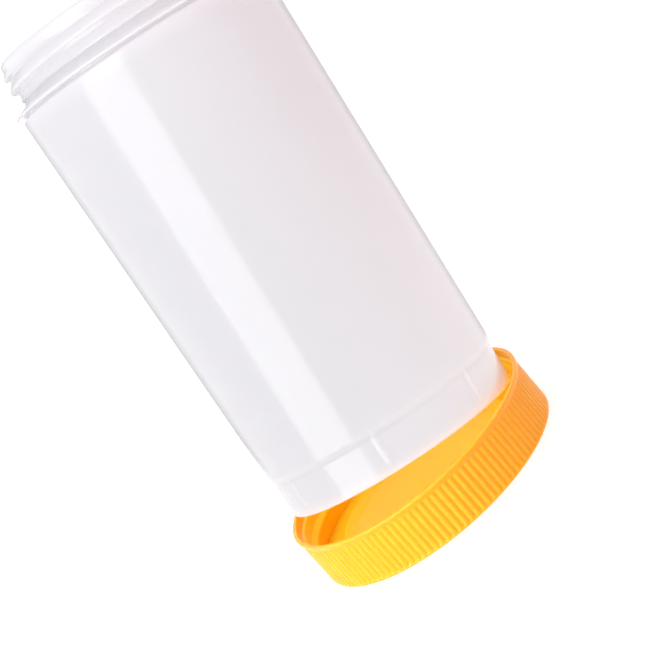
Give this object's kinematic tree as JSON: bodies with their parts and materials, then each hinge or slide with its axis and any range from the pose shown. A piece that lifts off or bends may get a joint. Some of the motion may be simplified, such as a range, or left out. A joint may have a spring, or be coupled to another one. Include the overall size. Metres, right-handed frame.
{
  "type": "wide-mouth screw-cap bottle",
  "caption": "Translucent wide-mouth bottle with a threaded neck, its foot set tilted inside the upturned ribbed screw cap.",
  "frame": {"origin": "centre of the screw cap's closed outer face, which lies on the table", "axes": "+Z along the cap's axis, up through its open end; the bottle leans 13.88 degrees from +Z towards +Y; +X is the axis about which it tilts"},
  "size_m": [0.0948, 0.1306, 0.1974],
  "materials": {
    "cap_plastic": "satin moulded yellow polypropylene, slightly translucent at its thin edges",
    "wad_plastic": "satin moulded yellow polyethylene, a little softer than the cap",
    "bottle_plastic": "milky translucent blown polyethylene, satin"
  },
  "bodies": {
    "cap": {"cap": "cap_plastic"},
    "wad": {"sealing_wad": "wad_plastic"},
    "bottle": {"bottle": "bottle_plastic"}
  },
  "joints": [
    {"name": "spin_in_cap", "type": "hinge", "parent": "cap", "child": "wad", "pos_m": [0, 0, 0.0028], "axis": [0, 0, 1], "continuous": true},
    {"name": "tilt_in_cap", "type": "hinge", "parent": "wad", "child": "bottle", "pos_m": [0, 0.05761, 0.01091], "axis": [1, 0, 0], "range_deg": [-6, 13.88]}
  ]
}
